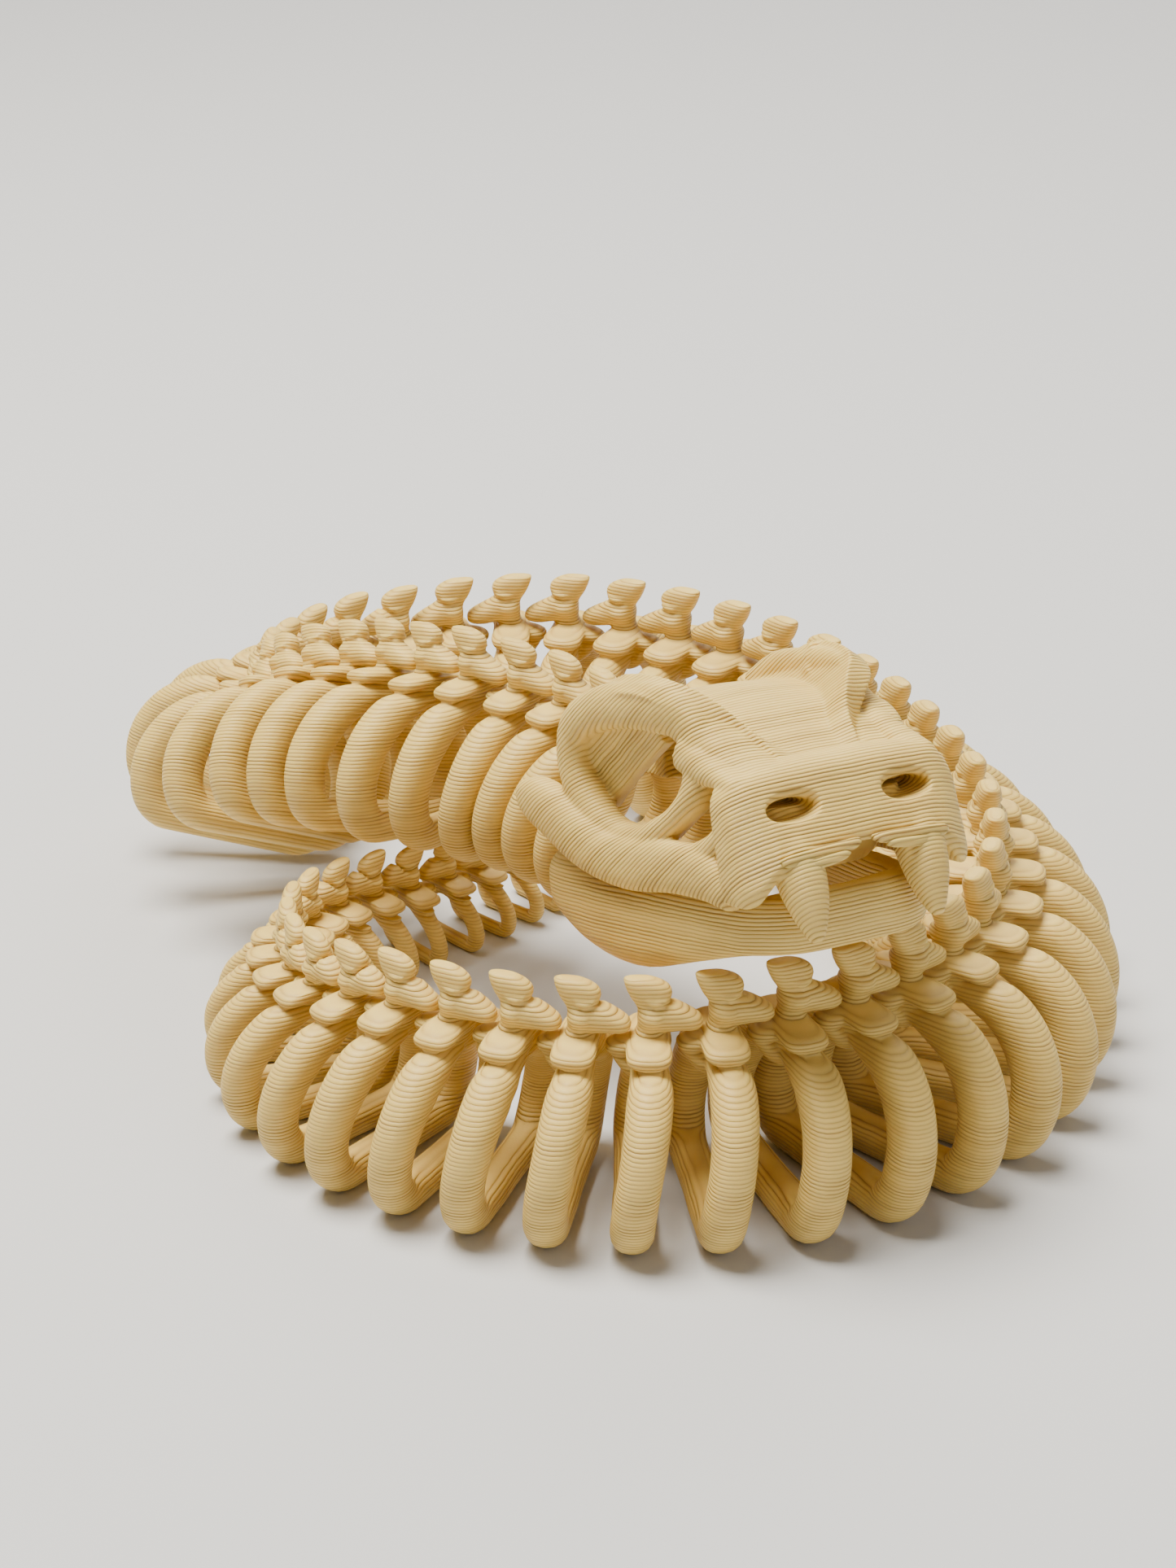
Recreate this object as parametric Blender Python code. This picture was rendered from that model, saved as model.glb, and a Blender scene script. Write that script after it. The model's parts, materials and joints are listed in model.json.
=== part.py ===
"""Printed toy snake skeleton, coiled up and resting on its ribs.

Fifty-eight ring-ribbed links hook into one another behind a skull with two fangs and a lower jaw.
Lengths are in millimetres here and are scaled to metres when the meshes are made.
"""

import math

import bmesh
import bpy
from mathutils import Matrix, Vector

MM = 0.001

# One link at full size, with x towards the head, y across the body and z up.
LINKS = 58
RING_TOP = 9.2
SOCKET_HEIGHT = 1.4
RING_HALF_WIDTH = 7.15
RING_FOOT_HALF = 5.4
RIB_LONG = 2.05
DEEP_FOLLOWS_RING = 0.75
LONG_FOLLOWS_RING = 0.8
RIB_SWEEP = 0.85
FOOT_DEEP = 1.9
FOOT_TAPER = 0.62
LOBE_BEHIND = 2.27
LOBE_DROP = 0.25
PIN_HALF = 0.26
PIN_FOOT = 10.2
PIN_TOP = 11.7
PIN_BEHIND = 1.95
EYE_AHEAD = 1.69
EYE_HALF = 0.56
ARM_NOSE_HALF = 0.85
ARM_NOSE = 0.98
ARM_HALF_TALL = 0.52
ARM_ABOVE = 0.68
ARM_WALL = 0.1

# Levels of the vertebra: height, how far its back and its front stand out, half width.
SOLE = (8.85, 1.4, 0.85, 1.75)
FLANGE = (9.9, 0.95, 0.85, 2.45)
WAIST = (10.4, 0.62, 0.6, 0.75)
BULGE = (11.6, 0.58, 0.85, 1.15)
NECK = (12.0, 0.7, 0.85, 0.6)
CREST = (12.7, 1.0, 1.15, 0.68)
CROWN = (13.38, 1.4, 0.45, 0.42)
LOBE_HALF = 0.8
BULGE_BACK_HALF = 0.95

# Half a rib, from the flange down: back, part of the half width and height of its outer edge,
# which way is inward and how deep it is.
RIB_PATH = ((0.1, 0.61, 9.15, 0.55, 0.84, 2.1), (0.25, 0.92, 6.64, 0.93, 0.36, 2.4),
            (0.7, 1.0, 3.52, 1.0, -0.08, 2.3))
TAIL_RIB_PATH = ((0.2, 0.95, 7.0, 0.9, 0.44, 2.2), (0.7, 1.0, 3.52, 1.0, -0.08, 2.2))

# How the body lies: a link number and its value, with straight lines between the entries.
HEADING = ((0, 121.7), (1, 125.3), (3, 147.6), (6, 133.5), (8, 140), (9.5, 117.5), (11, 88.5),
           (12.5, 60.2), (14, 38.4), (16, 13.1), (19, -24.6), (22, -45.8), (25, -66.7),
           (28, -78.4), (31, -103.2), (34, -135.4), (37, -171.2), (40, -200.3), (43, -224.9),
           (45, -251.7), (47, -274.9), (49, -306.7), (51, -320.1), (54, -311), (57, -335))
LIFT = ((0, 9.7), (4, 8.85), (6, 6.9), (8, 4.6), (10, 1.6), (12, 0.2), (13, 0.0), (57, 0.0))
ROLL = ((0, 0), (4, 4.5), (8, 27.9), (10, 19), (12, 15.7), (15, 0), (57, 0))
RING_SIZE = ((0, 0.83), (8, 0.89), (20, 0.99), (36, 0.98), (42, 0.88), (45, 0.7), (48, 0.55),
             (51, 0.4), (57, 0.3))
SPINE_SIZE = ((0, 0.86), (10, 0.9), (20, 1.04), (36, 0.98), (45, 0.83), (51, 0.75), (57, 0.5))
NECK_END = 13
TAIL_START = 43
START = (2.01, -10.77)

# The skull, with x along the snout, y to its left and z up from the neck's first socket.
SKULL_SPOT = (2.15, -10.6, 18.5)
SKULL_TURN = (-2.6, -14.0, -59.0)
ROOF_THICK = 1.4
ROOF_UNDER = 0.93

# Each row of the roof: x, height of the middle, notch across and up, brow across and up.
ROOF = ((3.1, 2.2, 2.6, 1.9, 3.9, 1.2), (5.0, 2.9, 3.4, 2.8, 5.3, 3.0), (8.0, 3.7, 3.3, 3.3, 5.8, 4.3),
        (10.4, 3.8, 3.1, 3.1, 5.6, 4.3), (13.2, 2.5, 2.3, 2.2, 4.0, 2.9), (17.0, 0.8, 1.8, 0.8, 3.2, 0.9))

# Each row of the snout from the side to the middle: y, top, bottom, back, front.
SNOUT = ((6.5, -0.9, -3.6, 16.9, 18.2), (5.6, 0.6, -5.0, 16.6, 18.6), (3.2, 1.0, -3.7, 15.8, 19.1),
         (0.0, 1.1, -3.1, 15.6, 19.2))
ORBIT_RIM = ((10.2, 5.6, 3.8), (6.4, 6.1, 3.4), (4.2, 6.2, 1.6), (4.3, 6.1, -1.0), (7.0, 6.0, -3.0),
             (10.6, 5.7, -2.6), (12.9, 5.0, -0.2), (12.7, 4.2, 2.1))
ORBIT_RIM_SIZE = (0.95, 1.0)
CHEEK = ((1.2, 7.2, -0.9), (3.6, 6.9, -2.6), (7.6, 6.4, -3.9), (12.0, 6.0, -4.2), (17.2, 5.4, -3.9))
CHEEK_SIZE = ((1.2, 1.2), (1.35, 1.7), (1.4, 2.4), (1.35, 2.1), (1.2, 1.3))
SOCKET_WALL = ((4.0, 5.3, -0.8), (6.3, 4.9, 1.0), (9.0, 4.7, 3.0))
SOCKET_WALL_SIZE = (0.8, 2.6)
SNOUT_STRUT = ((14.0, 5.2, -4.0), (17.0, 5.0, -1.6))
SNOUT_STRUT_SIZE = (0.9, 0.8)
FANG = ((18.4, 3.5, -3.0), (19.5, 3.45, -5.0), (20.4, 3.4, -6.8))
FANG_SIZE = (1.2, 0.95, 0.3)
FANG_SIDES = 6
NOSTRIL = (19.2, 3.2, -0.8)
NOSTRIL_SIZE = (1.25, 0.65)
NOSTRIL_DEEP = 2.2
NECK_POST = ((3.1, -1.3, -1.6), (4.5, 1.3, 1.9))
NECK_SHELF = ((1.15, -0.9, -1.7), (3.4, 0.9, -0.8))
NECK_PIN = ((1.35, -0.45, -1.3), (1.85, 0.05, 1.15))
FLATTEN_ANGLE = 9.0
JAW = ((1.5, 6.1, -6.6), (3.6, 6.1, -7.3), (6.6, 5.9, -8.05), (16.3, 4.7, -6.95), (18.2, 3.2, -6.95))
JAW_SIZE = ((0.8, 1.5), (1.0, 1.95), (1.05, 2.0), (0.95, 1.25), (0.95, 1.25))
JAW_SECTION = ((1, 0.6), (0.1, 1), (-1, 0.8), (-1, -0.8), (0.1, -1), (1, -0.6))

COLOUR = (0.79, 0.62, 0.34, 1.0)
ROUGHNESS = 0.55


def between(table, number):
    """Return the value of a table of knots at a link number."""
    for (first, low), (last, high) in zip(table, table[1:]):
        if number <= last:
            return low + (high - low) * (number - first) / (last - first)
    return table[-1][1]


class Cage:
    """A closed mesh that grows one section at a time."""

    def __init__(self):
        self.points = []
        self.faces = []

    def ring(self, corners):
        """Add the corners of one section and return their numbers."""
        start = len(self.points)
        self.points.extend(Vector(corner) for corner in corners)
        return list(range(start, len(self.points)))

    def span(self, one, two):
        """Join two sections with a band of faces."""
        count = len(one)
        for k in range(count):
            after = (k + 1) % count
            self.faces.append((one[k], one[after], two[after], two[k]))

    def run(self, rings):
        """Join a row of sections."""
        for one, two in zip(rings, rings[1:]):
            self.span(one, two)


def level(cage, up, size, row, half_back=None, back=None, drop=0.0):
    """Add one section of the vertebra, starting with its two corners on the right side."""
    height, behind, front, half = row
    rear = (half if half_back is None else half_back) * size
    tail = -(behind if back is None else back) * size
    z = up(height)
    low = up(height - drop)
    return cage.ring(((tail, -rear, low), (front * size, -half * size, z),
                      (front * size, half * size, z), (tail, rear, low)))


def rib_section(outer, inward, deep, long):
    """Return the four corners of a rib section from the middle of its outer edge."""
    x, y, z = outer
    dy, dz = inward
    half = long / 2
    return ((x - half, y, z), (x + half, y, z),
            (x + half, y + dy * deep, z + dz * deep), (x - half, y + dy * deep, z + dz * deep))


def link_cage(ring_size, spine_size, eye, hooked, eyed):
    """Return the cage of one link, whose origin is its socket, with its arm's eye round a point."""
    cage = Cage()
    socket = RING_TOP * ring_size + SOCKET_HEIGHT * spine_size

    def up(height):
        """Return a height of the full-size link in this link, from its socket."""
        low = min(height, RING_TOP) * ring_size
        return low + max(height - RING_TOP, 0.0) * spine_size - socket

    s = spine_size
    sole = level(cage, up, s, SOLE)
    if hooked:
        flange = level(cage, up, s, FLANGE, LOBE_HALF, LOBE_BEHIND, LOBE_DROP)
    else:
        flange = level(cage, up, s, FLANGE)
    waist = level(cage, up, s, WAIST)
    bulge = level(cage, up, s, BULGE, BULGE_BACK_HALF)
    stack = [sole, flange, waist, bulge]
    if hooked:
        stack.append(level(cage, up, s, NECK))
    stack += [level(cage, up, s, CREST), level(cage, up, s, CROWN)]

    # Faces of the stack run back, left, front, right, so each band's face k starts at corner k.
    for one, two in zip(stack, stack[1:]):
        for k in range(4):
            after = (k + 1) % 4
            side = (one[k], one[after], two[after], two[k])
            is_rib = one is sole and k in (0, 2)
            is_arm = one is waist and k == 1
            is_pin = hooked and one is flange and k == 3
            if not (is_rib or is_arm or is_pin):
                cage.faces.append(side)
    cage.faces.append(tuple(reversed(sole)))
    cage.faces.append(tuple(stack[-1]))

    # The rib leaves one side of the flange, goes round under the body and meets the other side.
    r = ring_size
    thick = DEEP_FOLLOWS_RING * r + (1 - DEEP_FOLLOWS_RING) * s
    long = RIB_LONG * (LONG_FOLLOWS_RING * r + (1 - LONG_FOLLOWS_RING) * s)
    wide = RING_HALF_WIDTH * r
    foot = RING_FOOT_HALF * r
    deep = FOOT_DEEP * thick
    sides = []
    for sign in (-1, 1):
        row = []
        for back, out, height, inward, down, depth in RIB_PATH if hooked else TAIL_RIB_PATH:
            row.append(rib_section((-back * r, sign * wide * out, up(height)), (-sign * inward, -down),
                                   depth * thick, long))
        x = -RIB_SWEEP * r
        floor = -socket
        inner = sign * (foot - deep * FOOT_TAPER)
        row.append(((x - long / 2, sign * foot, floor), (x + long / 2, sign * foot, floor),
                    (x + long / 2, inner, floor + deep), (x - long / 2, inner, floor + deep)))
        sides.append([cage.ring(section) for section in row])
    right, left = sides
    loop = [[flange[0], flange[1], sole[1], sole[0]]] + right
    loop += list(reversed(left)) + [[flange[3], flange[2], sole[2], sole[3]]]
    for one, two in zip(loop, loop[1:]):
        cage.span(two, one)

    # The arm reaches towards the head and ends in a flat eye.
    ex, ey, ez = eye
    half = ARM_HALF_TALL * s
    nose = ex + ARM_NOSE * s
    hole_back = max(ex - EYE_HALF * s, (BULGE[2] + ARM_WALL) * s)
    hole_front = ex + EYE_HALF * s
    inner = ((hole_back, -EYE_HALF * s), (hole_front, -EYE_HALF * s),
             (hole_front, EYE_HALF * s), (hole_back, EYE_HALF * s))
    outer = ((nose, -ARM_NOSE_HALF * s), (nose, ARM_NOSE_HALF * s))
    low_root = [waist[1], waist[2]]
    high_root = [bulge[1], bulge[2]]
    low = cage.ring([(x, y + ey, ez - half) for x, y in outer])
    high = cage.ring([(x, y + ey, ez + half) for x, y in outer])
    walls = [(low_root[0], high_root[0])] + list(zip(low, high)) + [(low_root[1], high_root[1])]
    for (a, b), (c, d) in zip(walls, walls[1:]):
        cage.faces.append((a, c, d, b))
    if eyed:
        low_in = cage.ring([(x, y + ey, ez - half) for x, y in inner])
        high_in = cage.ring([(x, y + ey, ez + half) for x, y in inner])
        for base, rim, hole, turn in ((high_root, high, high_in, False), (low_root, low, low_in, True)):
            tops = [(base[0], rim[0], hole[1], hole[0]), (rim[1], base[1], hole[3], hole[2]),
                    (rim[0], rim[1], hole[2], hole[1]), (base[1], base[0], hole[0], hole[3])]
            for face in tops:
                cage.faces.append(tuple(reversed(face)) if turn else face)
        for k in range(4):
            after = (k + 1) % 4
            cage.faces.append((low_in[k], high_in[k], high_in[after], low_in[after]))
    else:
        for base, rim, turn in ((high_root, high, False), (low_root, low, True)):
            face = (base[1], base[0], rim[0], rim[1])
            cage.faces.append(tuple(reversed(face)) if turn else face)
    if hooked:
        # The pin stands on the lobe behind the post, inside the eye of the link that follows.
        px = -PIN_BEHIND * s
        thin = PIN_HALF * s
        pin = [[flange[3], waist[3], waist[0], flange[0]]]
        for height in (PIN_FOOT, PIN_TOP):
            z = up(height)
            pin.append(cage.ring(((px - thin, thin, z), (px + thin, thin, z),
                                  (px + thin, -thin, z), (px - thin, -thin, z))))
        cage.run([list(reversed(section)) for section in pin])
        cage.faces.append(tuple(pin[-1]))
    return cage


def tube(path, sizes, sides, closed=False):
    """Return a cage that follows a path, with half sizes across and along the other way."""
    cage = Cage()
    points = [Vector(point) for point in path]
    count = len(points)
    rings = []
    for k, point in enumerate(points):
        if closed:
            along = points[(k + 1) % count] - points[k - 1]
        else:
            along = points[min(k + 1, count - 1)] - points[max(k - 1, 0)]
        along.normalize()
        aside = Vector((0.0, 1.0, 0.0))
        across = (aside - along * aside.dot(along)).normalized()
        other = along.cross(across)
        half_across, half_other = sizes[k]
        corners = []
        for n in range(sides):
            angle = 2 * math.pi * (n + 0.5) / sides
            corners.append(point + across * (half_across * math.cos(angle))
                           + other * (half_other * math.sin(angle)))
        rings.append(cage.ring(corners))
    cage.run(rings)
    if closed:
        cage.span(rings[-1], rings[0])
    else:
        cage.faces.append(tuple(reversed(rings[0])))
        cage.faces.append(tuple(rings[-1]))
    return cage


def mirrored(path):
    """Return a path's mirror image across the middle of the skull."""
    return [(x, -y, z) for x, y, z in path]


def roof_cage():
    """Return the saddle-shaped roof, from the back of the head down to the snout."""
    cage = Cage()
    rings = []
    for x, middle, notch_y, notch, brow_y, brow in ROOF:
        top = [(x, -brow_y, brow), (x, -notch_y, notch), (x, 0.0, middle), (x, notch_y, notch),
               (x, brow_y, brow)]
        under = [(px, py * ROOF_UNDER, pz - ROOF_THICK) for px, py, pz in reversed(top)]
        rings.append(cage.ring(top + under))
    cage.run(rings)
    cage.faces.append(tuple(reversed(rings[0])))
    cage.faces.append(tuple(rings[-1]))
    return cage


def snout_cage():
    """Return the blunt block at the front of the skull, drooping at both corners."""
    rows = SNOUT + tuple((-y, top, low, back, front) for y, top, low, back, front in SNOUT[-2::-1])
    cage = Cage()
    rings = []
    for y, top, low, back, front in rows:
        middle = (top + low) / 2 + 0.2
        rings.append(cage.ring(((back, y, top - 0.3), (front - 0.9, y, top), (front, y, middle + 0.9),
                                (front + 0.3, y, low + 0.6), (front - 0.5, y, low),
                                (back + 0.2, y, low + 0.5))))
    cage.run(rings)
    cage.faces.append(tuple(reversed(rings[0])))
    cage.faces.append(tuple(rings[-1]))
    return cage


def box_cage(low, high):
    """Return a box between two corners."""
    cage = Cage()
    one = cage.ring(((low[0], low[1], low[2]), (high[0], low[1], low[2]), (high[0], high[1], low[2]),
                     (low[0], high[1], low[2])))
    two = cage.ring(((low[0], low[1], high[2]), (high[0], low[1], high[2]), (high[0], high[1], high[2]),
                     (low[0], high[1], high[2])))
    cage.span(one, two)
    cage.faces.append(tuple(reversed(one)))
    cage.faces.append(tuple(two))
    return cage


def skull_pieces():
    """Return the cages that join into the skull."""
    pieces = [roof_cage(), snout_cage()]
    for side in (1, -1):
        def on(path):
            return path if side > 0 else mirrored(path)

        pieces.append(tube(on(ORBIT_RIM), [ORBIT_RIM_SIZE] * len(ORBIT_RIM), 4, closed=True))
        pieces.append(tube(on(CHEEK), CHEEK_SIZE, 4))
        pieces.append(tube(on(FANG), [(size, size) for size in FANG_SIZE], FANG_SIDES))
        pieces.append(tube(on(SOCKET_WALL), [SOCKET_WALL_SIZE] * len(SOCKET_WALL), 4))
        pieces.append(tube(on(SNOUT_STRUT), [SNOUT_STRUT_SIZE] * len(SNOUT_STRUT), 4))
    # The back of the head holds the first link's eye on a pin that stands on a shelf.
    for low, high in (NECK_POST, NECK_SHELF, NECK_PIN):
        pieces.append(box_cage(low, high))
    return pieces


def body_pose():
    """Return every link's socket position and its turns about x, y and z."""
    rings = [between(RING_SIZE, k) for k in range(LINKS)]
    spines = [between(SPINE_SIZE, k) for k in range(LINKS)]
    rolls = [math.radians(between(ROLL, k)) for k in range(LINKS)]
    heights = []
    for ring, spine, roll, number in zip(rings, spines, rolls, range(LINKS)):
        tall = RING_TOP * ring + SOCKET_HEIGHT * spine
        heights.append(between(LIFT, number) + tall * math.cos(roll)
                       + RING_FOOT_HALF * ring * abs(math.sin(roll)))
    step = PIN_BEHIND + EYE_AHEAD
    places = []
    x, y = START
    for k in range(LINKS):
        ahead = heights[max(k - 1, 0)]
        behind = heights[min(k + 1, LINKS - 1)]
        slope = (ahead - behind) / (2 * step * spines[k]) if 0 < k < NECK_END else 0.0
        if k == 0:
            slope = (heights[0] - heights[1]) / (step * spines[0])
        heading = math.radians(between(HEADING, k))
        flat = math.cos(math.asin(slope))
        way = Vector((math.cos(heading), math.sin(heading)))
        if k:
            x += way.x * EYE_AHEAD * spines[k] * flat
            y += way.y * EYE_AHEAD * spines[k] * flat
        turn = (-rolls[k], -math.asin(slope), heading + math.pi)
        places.append((Vector((x, y, heights[k])), turn, rings[k], spines[k]))
        x += way.x * PIN_BEHIND * spines[k] * flat
        y += way.y * PIN_BEHIND * spines[k] * flat
    return places


def turn_matrix(turn):
    """Return the rotation for turns about x, then y, then z."""
    about_x = Matrix.Rotation(turn[0], 3, "X")
    about_y = Matrix.Rotation(turn[1], 3, "Y")
    about_z = Matrix.Rotation(turn[2], 3, "Z")
    return about_z @ about_y @ about_x


def plastic(name):
    """Return one node's bone-coloured plastic."""
    material = bpy.data.materials.new(name + "_plastic")
    material.use_nodes = True
    shader = material.node_tree.nodes["Principled BSDF"]
    shader.inputs["Base Color"].default_value = COLOUR
    shader.inputs["Roughness"].default_value = ROUGHNESS
    shader.inputs["Metallic"].default_value = 0.0
    return material


def add_object(name, cage, parent=None):
    """Make an object from a cage in millimetres."""
    mesh = bpy.data.meshes.new(name)
    mesh.from_pydata([point * MM for point in cage.points], [], cage.faces)
    work = bmesh.new()
    work.from_mesh(mesh)
    bmesh.ops.recalc_face_normals(work, faces=work.faces)
    bmesh.ops.triangulate(work, faces=work.faces)
    for face in work.faces:
        face.smooth = True
    work.to_mesh(mesh)
    work.free()
    obj = bpy.data.objects.new(name, mesh)
    bpy.context.collection.objects.link(obj)
    obj.data.materials.append(plastic(name))
    obj.parent = parent
    return obj


def clear_scene():
    """Remove whatever the scene holds."""
    for obj in list(bpy.data.objects):
        bpy.data.objects.remove(obj, do_unlink=True)


def add_links(parent):
    """Make all the links."""
    places = body_pose()
    for k, (spot, turn, ring, spine) in enumerate(places):
        hooked = k < TAIL_START
        eyed = k <= TAIL_START
        eye = Vector((EYE_AHEAD * spine, 0.0, ARM_ABOVE * spine))
        if k:
            head_spot, head_turn, _, head_spine = places[k - 1]
            pin = Vector((-PIN_BEHIND * head_spine, 0.0, ARM_ABOVE * head_spine))
            world = head_spot + turn_matrix(head_turn) @ pin
            eye = turn_matrix(turn).transposed() @ (world - spot)
        obj = add_object("link_%02d" % (k + 1), link_cage(ring, spine, eye, hooked, eyed), parent)
        obj.location = spot * MM
        obj.rotation_euler = turn


def place_on_neck(obj):
    """Place a piece that is modelled in the skull's frame."""
    obj.location = Vector(SKULL_SPOT) * MM
    obj.rotation_euler = [math.radians(angle) for angle in SKULL_TURN]


def cut_or_join(target, tool, operation):
    """Add an exact boolean between two objects and hide the one it uses."""
    modifier = target.modifiers.new(operation.lower(), "BOOLEAN")
    modifier.operation = operation
    modifier.solver = "EXACT"
    modifier.object = tool
    tool.hide_render = True
    tool.display_type = "WIRE"


def add_skull(parent):
    """Join the skull's pieces and open its nostrils."""
    pieces = skull_pieces()
    skull = add_object("skull", pieces[0], parent)
    place_on_neck(skull)
    for number, cage in enumerate(pieces[1:]):
        tool = add_object("skull_piece_%d" % number, cage, parent)
        place_on_neck(tool)
        cut_or_join(skull, tool, "UNION")
    x, y, z = NOSTRIL
    for side in (1, -1):
        path = ((x - NOSTRIL_DEEP, side * y, z), (x + 1.0, side * y, z))
        tool = add_object("nostril_%s" % ("left" if side > 0 else "right"),
                          tube(path, (NOSTRIL_SIZE, NOSTRIL_SIZE), 6), parent)
        place_on_neck(tool)
        cut_or_join(skull, tool, "DIFFERENCE")
    flatten = skull.modifiers.new("flatten", "DECIMATE")
    flatten.decimate_type = "DISSOLVE"
    flatten.angle_limit = math.radians(FLATTEN_ANGLE)


def add_jaw(parent):
    """Make the lower jaw, one bar bent round the chin."""
    path = list(JAW) + list(reversed(mirrored(JAW)))
    sizes = list(JAW_SIZE) + list(reversed(JAW_SIZE))
    cage = Cage()
    rings = []
    points = [Vector(point) for point in path]
    for k, point in enumerate(points):
        along = points[min(k + 1, len(points) - 1)] - points[max(k - 1, 0)]
        out = Vector((along.y, -along.x, 0.0)).normalized()
        half, tall = sizes[k]
        corners = [point + out * (half * a) + Vector((0.0, 0.0, tall * b)) for a, b in JAW_SECTION]
        rings.append(cage.ring(corners))
    cage.run(rings)
    cage.faces.append(tuple(reversed(rings[0])))
    cage.faces.append(tuple(rings[-1]))
    place_on_neck(add_object("jaw", cage, parent))


def main():
    clear_scene()
    snake = bpy.data.objects.new("snake", None)
    bpy.context.collection.objects.link(snake)
    add_links(snake)
    add_skull(snake)
    add_jaw(snake)


main()
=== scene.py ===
"""Printed toy snake skeleton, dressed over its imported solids.

Every class models in millimetres, in its own piece's frame, and the finished mesh is placed in metres.
"""

import json
import logging
import math
from dataclasses import dataclass, field
from enum import Enum
from typing import Iterable, Sequence

import bpy
import numpy as np
from mathutils import Euler, Matrix, Vector

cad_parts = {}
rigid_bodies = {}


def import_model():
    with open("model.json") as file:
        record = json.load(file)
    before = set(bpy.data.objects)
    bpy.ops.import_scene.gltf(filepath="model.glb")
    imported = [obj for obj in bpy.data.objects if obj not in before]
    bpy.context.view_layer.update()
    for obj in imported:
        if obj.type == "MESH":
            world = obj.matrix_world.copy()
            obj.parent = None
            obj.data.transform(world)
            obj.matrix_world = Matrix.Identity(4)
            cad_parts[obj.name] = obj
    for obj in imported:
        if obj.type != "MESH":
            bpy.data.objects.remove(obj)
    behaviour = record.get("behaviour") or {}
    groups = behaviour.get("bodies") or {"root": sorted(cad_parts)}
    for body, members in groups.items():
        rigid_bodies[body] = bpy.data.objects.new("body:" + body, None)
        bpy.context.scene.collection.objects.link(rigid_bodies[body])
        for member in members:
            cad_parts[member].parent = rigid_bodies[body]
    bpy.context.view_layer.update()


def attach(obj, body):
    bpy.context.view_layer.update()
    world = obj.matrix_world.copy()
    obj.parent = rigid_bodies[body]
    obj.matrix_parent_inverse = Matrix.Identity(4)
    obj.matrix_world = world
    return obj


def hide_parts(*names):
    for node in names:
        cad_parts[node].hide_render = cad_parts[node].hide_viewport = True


LOG = logging.getLogger("snake")
MM = 0.001
Row = Sequence[float]
Table = Sequence[tuple[float, float]]
CORNER_CUTS = 4
WIDEST_ROUNDING = 0.999
SMOOTH_SHARE = 0.5

# How the body lies: a link number and its value, with straight lines between the entries.
HEADING: Table = ((0, 121.7), (1, 125.3), (3, 147.6), (6, 133.5), (8, 140), (9.5, 117.5), (11, 88.5),
                  (12.5, 60.2), (14, 38.4), (16, 13.1), (19, -24.6), (22, -45.8), (25, -66.7),
                  (28, -78.4), (31, -103.2), (34, -135.4), (37, -171.2), (40, -200.3), (43, -224.9),
                  (45, -251.7), (47, -274.9), (49, -306.7), (51, -320.1), (54, -311), (57, -335))
LIFT: Table = ((0, 9.7), (4, 8.85), (6, 6.9), (8, 4.6), (10, 1.6), (12, 0.2), (13, 0.0), (57, 0.0))
ROLL: Table = ((0, 0), (4, 4.5), (8, 27.9), (10, 19), (12, 15.7), (15, 0), (57, 0))
RING_SIZE: Table = ((0, 0.83), (8, 0.89), (20, 0.99), (36, 0.98), (42, 0.88), (45, 0.7), (48, 0.55),
                    (51, 0.4), (57, 0.3))
SPINE_SIZE: Table = ((0, 0.86), (10, 0.9), (20, 1.04), (36, 0.98), (45, 0.83), (51, 0.75), (57, 0.5))


def between(table: Table, number: float) -> float:
    """Look a value up in a table of knots.

    Args:
        table: Pairs of a link number and its value.
        number: The link number to look up.

    Returns:
        The value on the straight line between the two nearest knots.
    """
    return float(np.interp(number, [knot[0] for knot in table], [knot[1] for knot in table]))


def eased(value: np.ndarray) -> np.ndarray:
    """Ease a share between 0 and 1, with level ends."""
    share = np.clip(value, 0.0, 1.0)
    return share * share * (3.0 - 2.0 * share)


def flowing(points: Sequence[Row], steps: int) -> list[np.ndarray]:
    """Run a smooth curve through rows of numbers.

    Args:
        points: The rows that the curve goes through.
        steps: How many pieces each span is cut into.

    Returns:
        The rows along the curve, both ends included.
    """
    rows = np.array(points, float)
    ends = np.vstack([2 * rows[0] - rows[1], rows, 2 * rows[-1] - rows[-2]])
    out = []
    for k in range(1, len(ends) - 2):
        a, b, c, d = ends[k - 1:k + 3]
        for step in range(steps):
            t = step / steps
            out.append(0.5 * (2 * b + (c - a) * t + (2 * a - 5 * b + 4 * c - d) * t * t
                              + (3 * b - a - 3 * c + d) * t ** 3))
    out.append(rows[-1])
    return out


class Plane(Enum):
    """The plane in which a swept bar bends."""

    ALONG = "along"
    ACROSS = "across"
    FLOOR = "floor"


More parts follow.
